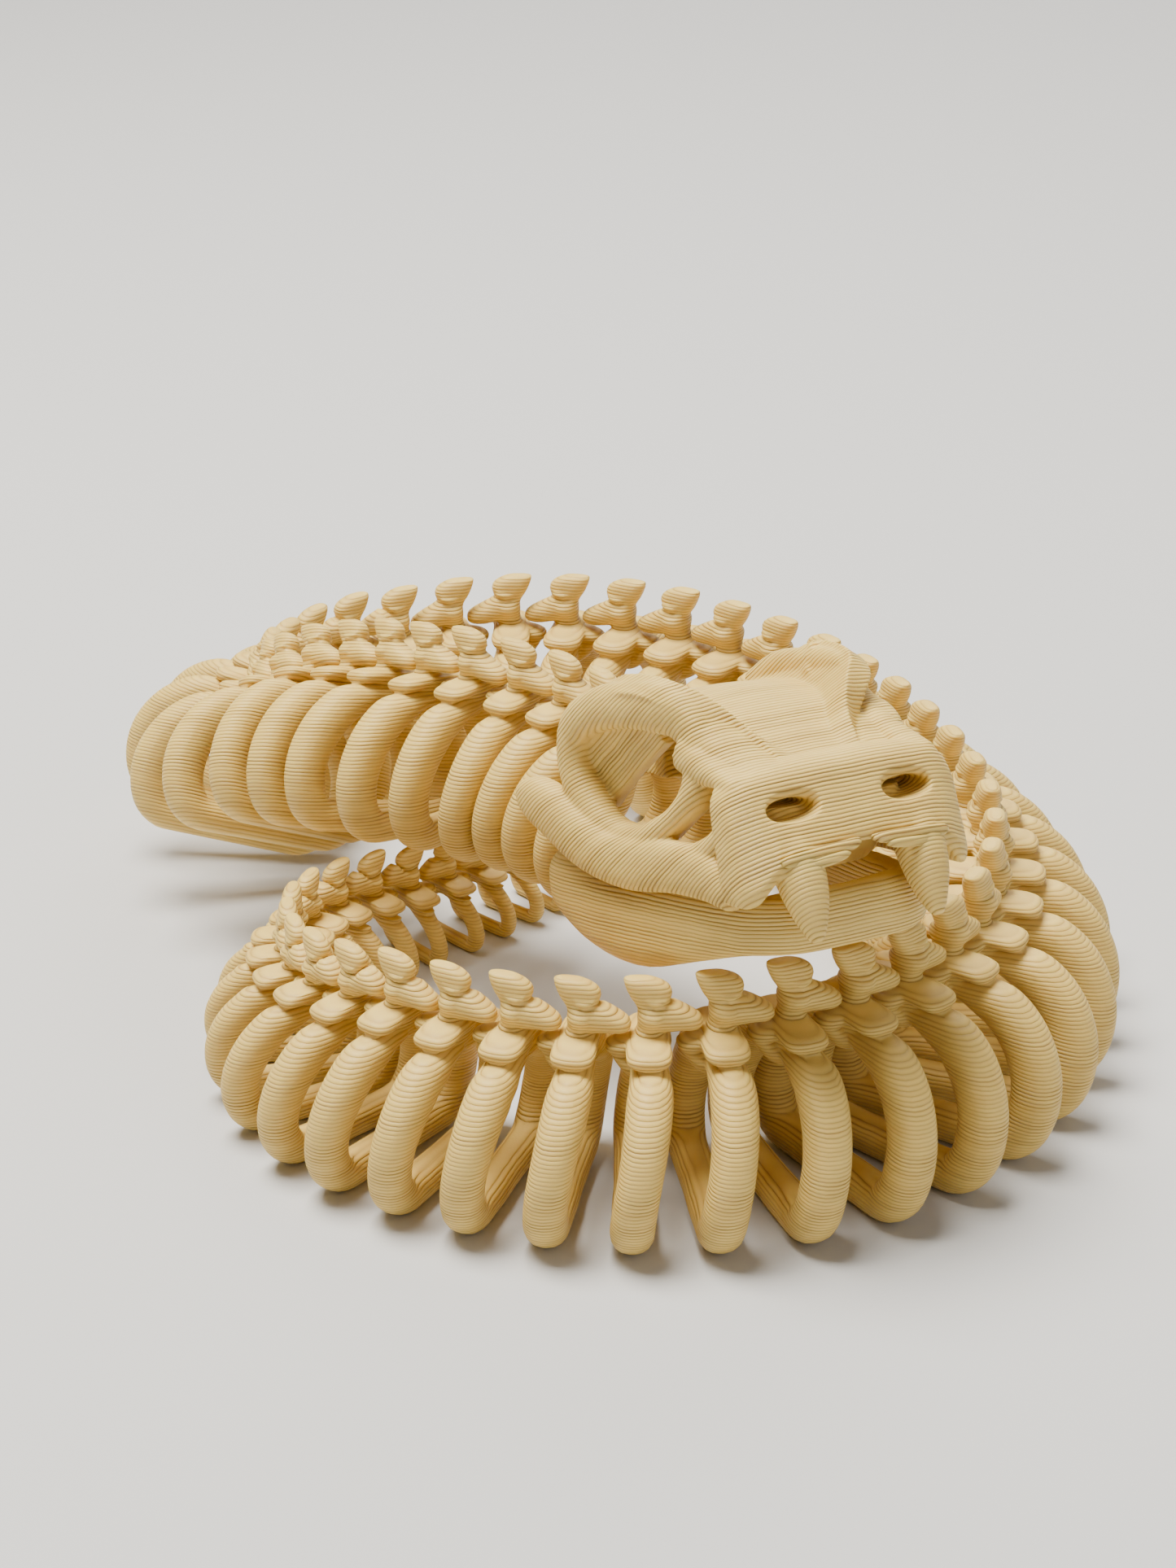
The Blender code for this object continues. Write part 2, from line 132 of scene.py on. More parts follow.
class Bench:
    """Modelling moves on one mesh at a time, with the selection made in code."""

    @staticmethod
    def clear() -> None:
        """Leave edit mode and deselect everything."""
        if bpy.context.object and bpy.context.object.mode != "OBJECT":
            bpy.ops.object.mode_set(mode="OBJECT")
        bpy.ops.object.select_all(action="DESELECT")

    @staticmethod
    def hold(obj: bpy.types.Object) -> None:
        """Select one object and make it the active one."""
        Bench.clear()
        obj.select_set(True)
        bpy.context.view_layer.objects.active = obj

    @staticmethod
    def turn(angle: float, axis: str, centre: Row) -> None:
        """Turn the selection in edit mode.

        Args:
            angle: Right-hand angle in radians.
            axis: "X", "Y" or "Z".
            centre: The point to turn about.
        """
        if abs(angle) > 1e-6:
            bpy.ops.transform.rotate(value=-angle, orient_axis=axis, center_override=tuple(centre))

    @staticmethod
    def section(name: str, rounding: float) -> bpy.types.Object:
        """Start a bar from a square face two units wide with rounded corners.

        Args:
            name: The new object's name.
            rounding: How far each corner is rounded, from 0 to 1.

        Returns:
            The object, in edit mode with its face selected.
        """
        Bench.clear()
        bpy.ops.mesh.primitive_plane_add(size=2.0, location=(0.0, 0.0, 0.0))
        obj = bpy.context.object
        obj.name = name
        bpy.ops.object.mode_set(mode="EDIT")
        bpy.ops.mesh.select_all(action="SELECT")
        bpy.ops.mesh.bevel(offset=rounding * WIDEST_ROUNDING, segments=CORNER_CUTS, affect="VERTICES")
        bpy.ops.mesh.select_all(action="SELECT")
        return obj

    @staticmethod
    def sweep(name: str, rows: Sequence[Row], plane: Plane, rounding: float = 0.9, steps: int = 3,
              closed: bool = False) -> bpy.types.Object:
        """Extrude a rounded section along a path.

        Args:
            name: The new object's name.
            rows: Knots of the path: x, y, z, half size in the plane of bending, half size across it.
            plane: The plane in which the path bends.
            rounding: How far the section's corners are rounded.
            steps: How many lengths each span is cut into.
            closed: Whether the path comes back to its start.

        Returns:
            The closed bar, in object mode.
        """
        knots = list(rows) + [rows[0], rows[1]] if closed else list(rows)
        path = flowing(knots, steps)
        obj = Bench.section(name, rounding)
        spot = np.zeros(3)
        size = np.ones(2)
        pitch = yaw = 0.0
        for k, row in enumerate(path):
            ahead = path[min(k + 1, len(path) - 1)][:3] - path[max(k - 1, 0)][:3]
            if plane is Plane.FLOOR:
                new_pitch, new_yaw = math.pi / 2, math.atan2(ahead[1], ahead[0])
            elif plane is Plane.ACROSS:
                new_pitch, new_yaw = math.atan2(ahead[1], ahead[2]), math.pi / 2
            else:
                new_pitch, new_yaw = math.atan2(ahead[0], ahead[2]), 0.0
            if k:
                bpy.ops.mesh.extrude_region_move(TRANSFORM_OT_translate={"value": (0.0, 0.0, 0.0)})
            Bench.turn(-yaw, "Z", spot)
            Bench.turn(-pitch, "Y", spot)
            bpy.ops.transform.resize(value=(row[3] / size[0], row[4] / size[1], 1.0),
                                     center_override=tuple(spot))
            Bench.turn(new_pitch, "Y", spot)
            Bench.turn(new_yaw, "Z", spot)
            bpy.ops.transform.translate(value=tuple(row[:3] - spot))
            spot, size, pitch, yaw = row[:3], row[3:5], new_pitch, new_yaw
        bpy.ops.mesh.select_all(action="SELECT")
        bpy.ops.mesh.normals_make_consistent(inside=False)
        bpy.ops.object.mode_set(mode="OBJECT")
        return obj

    @staticmethod
    def stack(name: str, rows: Sequence[Row], rounding: float = 0.9, steps: int = 2) -> bpy.types.Object:
        """Extrude a rounded section straight up through level rows.

        Args:
            name: The new object's name.
            rows: Each level's height, middle along x, half size along x, half size along y, and where
                it has one, its middle along y.
            rounding: How far the section's corners are rounded.
            steps: How many lengths each span is cut into.

        Returns:
            The closed block, in object mode.
        """
        obj = Bench.section(name, rounding)
        spot = np.zeros(3)
        size = np.ones(2)
        for k, (height, middle, half_x, half_y, *aside) in enumerate(flowing(rows, steps)):
            if k:
                bpy.ops.mesh.extrude_region_move(TRANSFORM_OT_translate={"value": (0.0, 0.0, 0.0)})
            bpy.ops.transform.resize(value=(half_x / size[0], half_y / size[1], 1.0),
                                     center_override=tuple(spot))
            place = np.array((middle, aside[0] if aside else 0.0, height))
            bpy.ops.transform.translate(value=tuple(place - spot))
            spot, size = place, np.array((half_x, half_y))
        bpy.ops.mesh.select_all(action="SELECT")
        bpy.ops.mesh.normals_make_consistent(inside=False)
        bpy.ops.object.mode_set(mode="OBJECT")
        return obj

    @staticmethod
    def apply(obj: bpy.types.Object, kind: str, **settings: object) -> None:
        """Add a modifier with its settings and apply it.

        Args:
            obj: The object to change.
            kind: The modifier's type.
            **settings: Values for the modifier's own settings.
        """
        Bench.hold(obj)
        modifier = obj.modifiers.new(kind.lower(), kind)
        for key, value in settings.items():
            setattr(modifier, key, value)
        bpy.ops.object.modifier_apply(modifier=modifier.name)

    @staticmethod
    def join(name: str, pieces: Sequence[bpy.types.Object]) -> bpy.types.Object:
        """Join pieces into one object.

        Args:
            name: The joined object's name.
            pieces: The pieces, of which the first is kept.

        Returns:
            The joined object.
        """
        Bench.hold(pieces[0])
        for piece in pieces:
            piece.select_set(True)
        bpy.ops.object.join()
        joined = bpy.context.object
        joined.name = name
        return joined

    @staticmethod
    def mirror(obj: bpy.types.Object) -> bpy.types.Object:
        """Copy a piece to the other side of the middle plane.

        Args:
            obj: The piece on one side.

        Returns:
            Its mirror image, with its faces pointing outwards.
        """
        Bench.hold(obj)
        bpy.ops.object.duplicate()
        twin = bpy.context.object
        bpy.ops.object.mode_set(mode="EDIT")
        bpy.ops.mesh.select_all(action="SELECT")
        bpy.ops.transform.resize(value=(1.0, -1.0, 1.0), center_override=(0.0, 0.0, 0.0))
        bpy.ops.mesh.normals_make_consistent(inside=False)
        bpy.ops.object.mode_set(mode="OBJECT")
        return twin

    @staticmethod
    def fuse(obj: bpy.types.Object, voxel: float, soften: int, target: int) -> None:
        """Melt overlapping pieces into one skin.

        Args:
            obj: The joined pieces.
            voxel: The size of the remesh.
            soften: How many times the skin is smoothed.
            target: About how many triangles are left.
        """
        Bench.apply(obj, "REMESH", mode="VOXEL", voxel_size=voxel, use_smooth_shade=True)
        Bench.apply(obj, "SMOOTH", factor=SMOOTH_SHARE, iterations=soften)
        share = target / (2.0 * len(obj.data.polygons))
        if share < 1.0:
            Bench.apply(obj, "DECIMATE", decimate_type="COLLAPSE", ratio=share)

    @staticmethod
    def points(obj: bpy.types.Object) -> np.ndarray:
        """Return the places of a mesh's vertices."""
        flat = np.empty(3 * len(obj.data.vertices))
        obj.data.vertices.foreach_get("co", flat)
        return flat.reshape(-1, 3)

    @staticmethod
    def move(obj: bpy.types.Object, places: np.ndarray) -> None:
        """Put a mesh's vertices in new places."""
        obj.data.vertices.foreach_set("co", places.astype(np.float32).ravel())
        obj.data.update()

    @staticmethod
    def finish(obj: bpy.types.Object, spot: Vector, turn: Matrix, plastic: "PrintedPlastic",
               nodes: Iterable[str]) -> None:
        """Place a finished piece in metres and hand it to the frame.

        Args:
            obj: The piece, in millimetres in its own frame.
            spot: Where its own origin lies, in millimetres.
            turn: How its own frame is turned.
            plastic: The plastic that it is printed in.
            nodes: The solids that it stands for.
        """
        own = Bench.points(obj)
        layer = obj.data.attributes.new("print_place", "FLOAT_VECTOR", "POINT")
        layer.data.foreach_set("vector", own.astype(np.float32).ravel())
        facing = np.empty(3 * len(own))
        obj.data.vertices.foreach_get("normal", facing)
        stacked = np.array(plastic.stacking())
        level = obj.data.attributes.new("print_level", "FLOAT", "POINT")
        level.data.foreach_set("value", np.abs(facing.reshape(-1, 3) @ stacked).astype(np.float32))
        turned = own @ np.array(turn).T + np.array(spot)
        Bench.move(obj, turned * MM)
        for face in obj.data.polygons:
            face.use_smooth = True
        obj.data.materials.clear()
        obj.data.materials.append(plastic.material())
        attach(obj, "root")
        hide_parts(*nodes)


@dataclass(frozen=True)
class PrintedPlastic:
    """Bone-coloured plastic laid down in thin layers.

    Args:
        name: The material's name.
        build: Which way the layers were stacked, as turns about x, y and z in degrees.
        colour: Colour of the plain surface.
        deep: Painted shade colour, which darkens the grooves between layers.
        layer_mm: Height of one layer.
        relief: How deep the grooves look, in metres.
        roughness: Roughness of the plain surface.
        glow: How much light passes under the surface.
        glow_reach: How far red, green and blue light pass, as shares of glow_depth.
        glow_depth: How deep the light passes, in metres.
        shine: Strength of the surface's reflection.
    """

    name: str
    build: tuple[float, float, float] = (0.0, 0.0, 0.0)
    colour: tuple[float, float, float] = (0.82, 0.585, 0.16)
    # deep is painted shade: the darker colour laid into the grooves between layers.
    deep: tuple[float, float, float] = (0.46, 0.27, 0.06)
    layer_mm: float = 0.2
    relief: float = 0.00004
    roughness: float = 0.52
    glow: float = 0.2
    glow_reach: tuple[float, float, float] = (1.0, 0.6, 0.25)
    glow_depth: float = 0.0008
    shine: float = 0.42

    def stacking(self) -> Vector:
        """Return the way the layers were stacked, in the piece's own frame."""
        turn = Euler([math.radians(angle) for angle in self.build]).to_matrix()
        return turn.transposed() @ Vector((0.0, 0.0, 1.0))

    def material(self) -> bpy.types.Material:
        """Return the material, which is built the first time.

        Returns:
            The material with its node tree.
        """
        found = bpy.data.materials.get(self.name)
        if found:
            return found
        material = bpy.data.materials.new(self.name)
        material.use_nodes = True
        tree = material.node_tree
        nodes, links = tree.nodes, tree.links
        shader = nodes["Principled BSDF"]
        shader.inputs["Subsurface Weight"].default_value = self.glow
        shader.inputs["Subsurface Radius"].default_value = self.glow_reach
        shader.inputs["Subsurface Scale"].default_value = self.glow_depth
        shader.inputs["Specular IOR Level"].default_value = self.shine
        place = nodes.new("ShaderNodeAttribute")
        place.attribute_name = "print_place"
        turned = nodes.new("ShaderNodeMapping")
        turned.inputs["Rotation"].default_value = [math.radians(angle) for angle in self.build]
        layers = nodes.new("ShaderNodeGroup")
        layers.node_tree = LayerPattern.group()
        layers.inputs["Layer"].default_value = self.layer_mm
        layers.inputs["Colour"].default_value = (*self.colour, 1.0)
        # The deep colour goes in as painted shade in the grooves between layers.
        layers.inputs["Groove Shade Colour"].default_value = (*self.deep, 1.0)
        layers.inputs["Roughness"].default_value = self.roughness
        bump = nodes.new("ShaderNodeBump")
        bump.inputs["Distance"].default_value = self.relief
        bump.inputs["Strength"].default_value = 1.0
        level = nodes.new("ShaderNodeAttribute")
        level.attribute_name = "print_level"
        links.new(level.outputs["Fac"], layers.inputs["Level"])
        links.new(place.outputs["Vector"], turned.inputs["Vector"])
        links.new(turned.outputs["Vector"], layers.inputs["Place"])
        links.new(layers.outputs["Colour"], shader.inputs["Base Color"])
        links.new(layers.outputs["Roughness"], shader.inputs["Roughness"])
        links.new(layers.outputs["Height"], bump.inputs["Height"])
        links.new(bump.outputs["Normal"], shader.inputs["Normal"])
        return material


class LayerPattern:
    """The node group that draws printing layers, their stray grooves and uneven patches, with painted shade
    in the grooves.
    """

    NAME = "print_layers"
    WANDER_MM = 0.11
    BEAD_POWER = 0.55
    LEVEL_FROM = 0.9
    LEVEL_TO = 0.995
    LEVEL_BEAD = 0.9
    STRAY_SEED = 71.5
    STRAY_POWER = 5.0
    STRAY_DEPTH = 1.4
    # How much darker the colour is in stray grooves: painted shade.
    STRAY_SHADE = 0.8
    GRAIN_ROUGHNESS = 0.22

    @staticmethod
    def group() -> bpy.types.NodeTree:
        """Return the group, which is built the first time.

        Returns:
            The shader node group.
        """
        found = bpy.data.node_groups.get(LayerPattern.NAME)
        if found:
            return found
        tree = bpy.data.node_groups.new(LayerPattern.NAME, "ShaderNodeTree")
        face = tree.interface
        face.new_socket("Place", in_out="INPUT", socket_type="NodeSocketVector")
        face.new_socket("Level", in_out="INPUT", socket_type="NodeSocketFloat")
        face.new_socket("Layer", in_out="INPUT", socket_type="NodeSocketFloat")
        face.new_socket("Colour", in_out="INPUT", socket_type="NodeSocketColor")
        face.new_socket("Groove Shade Colour", in_out="INPUT", socket_type="NodeSocketColor")
        face.new_socket("Roughness", in_out="INPUT", socket_type="NodeSocketFloat")
        face.new_socket("Colour", in_out="OUTPUT", socket_type="NodeSocketColor")
        face.new_socket("Roughness", in_out="OUTPUT", socket_type="NodeSocketFloat")
        face.new_socket("Height", in_out="OUTPUT", socket_type="NodeSocketFloat")
        LayerPattern._fill(tree)
        return tree

    @staticmethod
    def _maths(tree: bpy.types.NodeTree, operation: str, *values: object) -> bpy.types.NodeSocket:
        """Add a Math node.

        Args:
            tree: The node tree.
            operation: The node's operation.
            *values: Sockets or numbers for its inputs.

        Returns:
            The node's output socket.
        """
        node = tree.nodes.new("ShaderNodeMath")
        node.operation = operation
        for socket, value in zip(node.inputs, values):
            if isinstance(value, (int, float)):
                socket.default_value = value
            else:
                tree.links.new(value, socket)
        return node.outputs[0]

    @staticmethod
    def _noise(tree: bpy.types.NodeTree, place: bpy.types.NodeSocket, scale: float,
               detail: float) -> bpy.types.NodeSocket:
        """Add a Noise Texture and return its value, from 0 to 1."""
        node = tree.nodes.new("ShaderNodeTexNoise")
        node.inputs["Scale"].default_value = scale
        node.inputs["Detail"].default_value = detail
        tree.links.new(place, node.inputs["Vector"])
        return node.outputs["Fac"]

    @staticmethod
    def _fill(tree: bpy.types.NodeTree) -> None:
        """Lay the group's nodes out between its own inputs and outputs."""
        add, links = tree.nodes.new, tree.links
        maths = LayerPattern._maths
        start = add("NodeGroupInput")
        end = add("NodeGroupOutput")
        place = start.outputs["Place"]
        split = add("ShaderNodeSeparateXYZ")
        links.new(place, split.inputs[0])
        wander = LayerPattern._noise(tree, place, 0.55, 1.0)
        bend = maths(tree, "MULTIPLY", maths(tree, "SUBTRACT", wander, 0.5), LayerPattern.WANDER_MM)
        height = maths(tree, "ADD", split.outputs["Z"], bend)
        count = maths(tree, "DIVIDE", height, start.outputs["Layer"])
        number = maths(tree, "FLOOR", count)
        phase = maths(tree, "FRACT", count)
        bead = maths(tree, "SINE", maths(tree, "MULTIPLY", phase, math.pi))
        bead = maths(tree, "POWER", maths(tree, "ABSOLUTE", bead), LayerPattern.BEAD_POWER)
        lying = add("ShaderNodeMapRange")
        lying.inputs["From Min"].default_value = LayerPattern.LEVEL_FROM
        lying.inputs["From Max"].default_value = LayerPattern.LEVEL_TO
        links.new(start.outputs["Level"], lying.inputs["Value"])
        bead = maths(tree, "MAXIMUM", bead,
                     maths(tree, "MULTIPLY", lying.outputs["Result"], LayerPattern.LEVEL_BEAD))
        own = add("ShaderNodeTexWhiteNoise")
        own.noise_dimensions = "1D"
        links.new(number, own.inputs["W"])
        bulge = maths(tree, "MULTIPLY", own.outputs["Value"], 0.35)
        grain = LayerPattern._noise(tree, place, 9.0, 2.0)
        top = maths(tree, "ADD", maths(tree, "MULTIPLY", bead, 0.85), bulge)
        top = maths(tree, "ADD", top, maths(tree, "MULTIPLY", grain, 0.25))
        rare = add("ShaderNodeTexWhiteNoise")
        rare.noise_dimensions = "1D"
        links.new(maths(tree, "ADD", number, LayerPattern.STRAY_SEED), rare.inputs["W"])
        groove = maths(tree, "MULTIPLY",
                       maths(tree, "POWER", rare.outputs["Value"], LayerPattern.STRAY_POWER),
                       maths(tree, "SUBTRACT", 1.0, bead))
        top = maths(tree, "SUBTRACT", top, maths(tree, "MULTIPLY", groove, LayerPattern.STRAY_DEPTH))
        links.new(top, end.inputs["Height"])

        # Colour: painted shade darkens the grooves between layers, and stray grooves more, mixed with the
        # plastic's own uneven patches and each layer's own tone.
        patch = LayerPattern._noise(tree, place, 0.35, 3.0)
        groove_shade_and_tone = maths(tree, "ADD", maths(tree, "MULTIPLY", bead, 0.55),
                     maths(tree, "MULTIPLY", patch, 0.5))
        groove_shade_and_tone = maths(tree, "ADD", groove_shade_and_tone, maths(tree, "MULTIPLY", own.outputs["Value"], 0.16))
        groove_shade_and_tone = maths(tree, "SUBTRACT", groove_shade_and_tone, maths(tree, "MULTIPLY", groove, LayerPattern.STRAY_SHADE))
        share = add("ShaderNodeMapRange")
        share.inputs["From Min"].default_value = 0.1
        share.inputs["From Max"].default_value = 0.95
        links.new(groove_shade_and_tone, share.inputs["Value"])
        mix = add("ShaderNodeMix")
        mix.data_type = "RGBA"
        links.new(share.outputs["Result"], mix.inputs["Factor"])
        links.new(start.outputs["Groove Shade Colour"], mix.inputs[6])
        links.new(start.outputs["Colour"], mix.inputs[7])
        links.new(mix.outputs[2], end.inputs["Colour"])
        rough = maths(tree, "ADD", start.outputs["Roughness"],
                      maths(tree, "MULTIPLY", maths(tree, "SUBTRACT", grain, 0.5),
                            LayerPattern.GRAIN_ROUGHNESS))
        links.new(rough, end.inputs["Roughness"])


@dataclass
class RibRing:
    """The closed rib ring of a full-size link, with z from the floor."""

    shoulder: Sequence[Row] = (
        (0.0, 0.3, 8.7, 0.5, 0.85), (0.0, 1.4, 8.6, 0.68, 0.95), (0.05, 2.5, 8.3, 1.0, 1.06),
        (0.0, 3.5, 7.95, 1.18, 1.12), (-0.1, 4.5, 7.1, 1.28, 1.12), (-0.25, 5.22, 6.1, 1.32, 1.1))
    side: Sequence[Row] = (
        (-0.45, 5.72, 4.87, 1.32, 1.08), (-0.65, 5.84, 3.62, 1.3, 1.08), (-0.78, 5.65, 2.48, 1.25, 1.08),
        (-0.84, 5.18, 1.63, 1.2, 1.08), (-0.85, 4.42, 1.08, 1.08, 1.04))
    foot: Sequence[Row] = ((-0.85, 3.2, 0.96, 1.02, 1.0), (-0.85, 1.6, 0.94, 1.0, 1.0),
                           (-0.85, 0.0, 0.94, 1.0, 1.0))
    outer_long: float = 1.07

    def build(self) -> bpy.types.Object:
        """Sweep one bar round the whole ring.

        Returns:
            The ring.
        """
        half = [*self.shoulder, *self.side, *self.foot]
        other = [(x, -y, z, deep, long * self.outer_long) for x, y, z, deep, long in reversed(half[:-1])]
        return Bench.sweep("ring", half + other, Plane.ACROSS, 0.9, 3)


@dataclass
class Vertebra:
    """The vertebra of a full-size link: post, flange with its lobe, and spine."""

    post: Sequence[Row] = (
        (8.3, -0.2, 0.9, 1.1), (8.9, -0.12, 0.95, 1.5), (9.4, -0.05, 0.98, 1.75), (9.8, -0.05, 0.98, 1.7),
        (10.1, -0.05, 0.86, 1.2), (10.4, -0.02, 0.74, 0.86), (10.75, 0.05, 0.7, 0.8),
        (11.05, 0.1, 0.76, 1.0), (11.35, 0.14, 0.8, 1.12), (11.6, 0.14, 0.78, 1.0), (11.9, 0.1, 0.74, 0.66))
    knobs: Sequence[Row] = (
        (-0.05, -2.8, 9.64, 0.16, 0.4), (-0.05, -2.66, 9.67, 0.34, 0.82), (-0.05, -2.28, 9.73, 0.46, 1.12),
        (-0.05, -1.5, 9.81, 0.5, 1.2), (-0.1, -0.6, 9.86, 0.48, 1.14), (-0.1, 0.6, 9.86, 0.48, 1.14),
        (-0.05, 1.5, 9.81, 0.5, 1.2), (-0.05, 2.28, 9.73, 0.46, 1.12), (-0.05, 2.66, 9.67, 0.34, 0.82),
        (-0.05, 2.8, 9.64, 0.16, 0.4))
    lobe: Sequence[Row] = (
        (0.0, 0.0, 9.8, 0.45, 1.0), (-1.0, 0.0, 9.68, 0.45, 0.95), (-1.7, 0.0, 9.56, 0.42, 0.84),
        (-2.12, 0.0, 9.46, 0.32, 0.6), (-2.25, 0.0, 9.42, 0.18, 0.34))
    buttress: Sequence[Row] = (
        (-1.9, 0.0, 9.4, 0.22, 0.55), (-1.5, 0.0, 9.0, 0.42, 0.8), (-1.05, 0.0, 8.55, 0.5, 0.95),
        (-0.5, 0.0, 8.2, 0.5, 0.95), (0.1, 0.0, 8.1, 0.4, 0.8))
    spine: Sequence[Row] = (
        (11.7, 0.1, 0.76, 0.62), (11.95, 0.08, 0.84, 0.6), (12.25, 0.03, 1.0, 0.63),
        (12.6, -0.02, 1.13, 0.66), (12.95, -0.16, 1.13, 0.62), (13.22, -0.4, 0.96, 0.52),
        (13.4, -0.62, 0.74, 0.36))
    scar: Sequence[Row] = ((-0.2, 0.6, 12.35, 0.1, 0.1), (0.15, 0.64, 12.2, 0.17, 0.18),
                           (0.5, 0.63, 12.24, 0.16, 0.17), (0.85, 0.54, 12.36, 0.1, 0.1))

    def build(self) -> list[bpy.types.Object]:
        """Model the vertebra's pieces.

        Returns:
            The pieces, which overlap.
        """
        scar = Bench.sweep("scar", self.scar, Plane.ALONG)
        return [Bench.stack("post", self.post, 0.9), Bench.sweep("knobs", self.knobs, Plane.ACROSS),
                Bench.sweep("lobe", self.lobe, Plane.ALONG),
                Bench.sweep("buttress", self.buttress, Plane.ALONG),
                Bench.stack("spine", self.spine, 0.8), scar, Bench.mirror(scar)]


@dataclass
class Arm:
    """The broad arm of a full-size link, which reaches over the lobe of the link ahead."""

    eye_x: float = 1.69
    eye_z: float = 11.28
    height: float = 11.08
    reach: Sequence[Row] = (
        (0.2, 0.0, 11.3, 0.9, 0.92), (0.8, 0.0, 11.2, 0.82, 0.88), (1.4, 0.0, 11.03, 0.7, 0.84),
        (1.9, 0.0, 10.88, 0.58, 0.78), (2.3, 0.0, 10.77, 0.46, 0.66), (2.55, 0.0, 10.71, 0.32, 0.46),
        (2.67, 0.0, 10.69, 0.16, 0.26))

    def build(self) -> list[bpy.types.Object]:
        """Sweep the arm from the post to its round nose.

        Returns:
            The arm.
        """
        return [Bench.sweep("arm", self.reach, Plane.ALONG, 0.85)]


@dataclass
class Link:
    """One link, modelled once at full size and copied for each place on the body."""

    ring: RibRing = field(default_factory=RibRing)
    vertebra: Vertebra = field(default_factory=Vertebra)
    arm: Arm = field(default_factory=Arm)
    ring_top: float = 9.2
    socket_above: float = 1.4
    sole: float = 0.01
    ring_ends: float = 8.6
    spine_starts: float = 9.6
    arm_from: float = 0.75
    arm_over: float = 0.6
    arm_half: float = 1.15
    arm_edge: float = 0.2
    voxel: float = 0.085
    soften: int = 3
    triangles: int = 9000
    tail_triangles: int = 5000

    def build(self) -> tuple[bpy.types.Object, bpy.types.Object]:
        """Model the full-size link and its lighter twin for the tail.

        Returns:
            Both masters.
        """
        pieces = [self.ring.build(), *self.vertebra.build(), *self.arm.build()]
        master = Bench.join("link_master", pieces)
        Bench.fuse(master, self.voxel, self.soften, self.triangles)
        self._flatten(master)
        Bench.hold(master)
        bpy.ops.object.duplicate()
        light = bpy.context.object
        Bench.apply(light, "DECIMATE", decimate_type="COLLAPSE", ratio=self.tail_triangles / self.triangles)
        return master, light

    def _flatten(self, master: bpy.types.Object) -> None:
        """Cut the foot flat where it stands on the floor."""
        Bench.hold(master)
        bpy.ops.object.mode_set(mode="EDIT")
        bpy.ops.mesh.select_all(action="SELECT")
        bpy.ops.mesh.bisect(plane_co=(0.0, 0.0, self.sole), plane_no=(0.0, 0.0, 1.0), use_fill=True,
                            clear_inner=True)
        bpy.ops.mesh.quads_convert_to_tris()
        bpy.ops.object.mode_set(mode="OBJECT")

    def fitted(self, master: bpy.types.Object, name: str, place: "Place",
               eye: Vector) -> bpy.types.Object:
        """Copy the master to one link's size, with its arm on the pin ahead.

        Args:
            master: The full-size link.
            name: The copy's name.
            place: The link's place on the body.
            eye: The middle of its eye, from its own socket.

        Returns:
            The copy, with its origin at its socket.
        """
        obj = bpy.data.objects.new(name, master.data.copy())
        bpy.context.scene.collection.objects.link(obj)
        own = Bench.points(obj)
        ring, spine = place.ring, place.spine
        share = eased((own[:, 2] - self.ring_ends) / (self.spine_starts - self.ring_ends))
        size = ring + (spine - ring) * share
        socket = self.ring_top * ring + self.socket_above * spine
        low = np.minimum(own[:, 2], self.ring_top) * ring
        high = np.maximum(own[:, 2] - self.ring_top, 0.0) * spine
        near = eased((own[:, 0] - self.arm_from) / self.arm_over)
        off = np.abs(own[:, 2] - self.arm.height)
        near *= np.clip((self.arm_half - off) / self.arm_edge, 0.0, 1.0)
        usual = np.array((self.arm.eye_x * spine, 0.0, (self.arm.eye_z - self.ring_top
                                                         - self.socket_above) * spine))
        own = np.column_stack([own[:, 0] * size, own[:, 1] * size, low + high - socket])
        own += near[:, None] * (np.array(eye) - usual)
        Bench.move(obj, own)
        return obj


@dataclass(frozen=True)
class Place:
    """Where one link's socket lies, how it is turned and how big its ring and vertebra are."""

    spot: Vector
    turn: Matrix
    ring: float
    spine: float


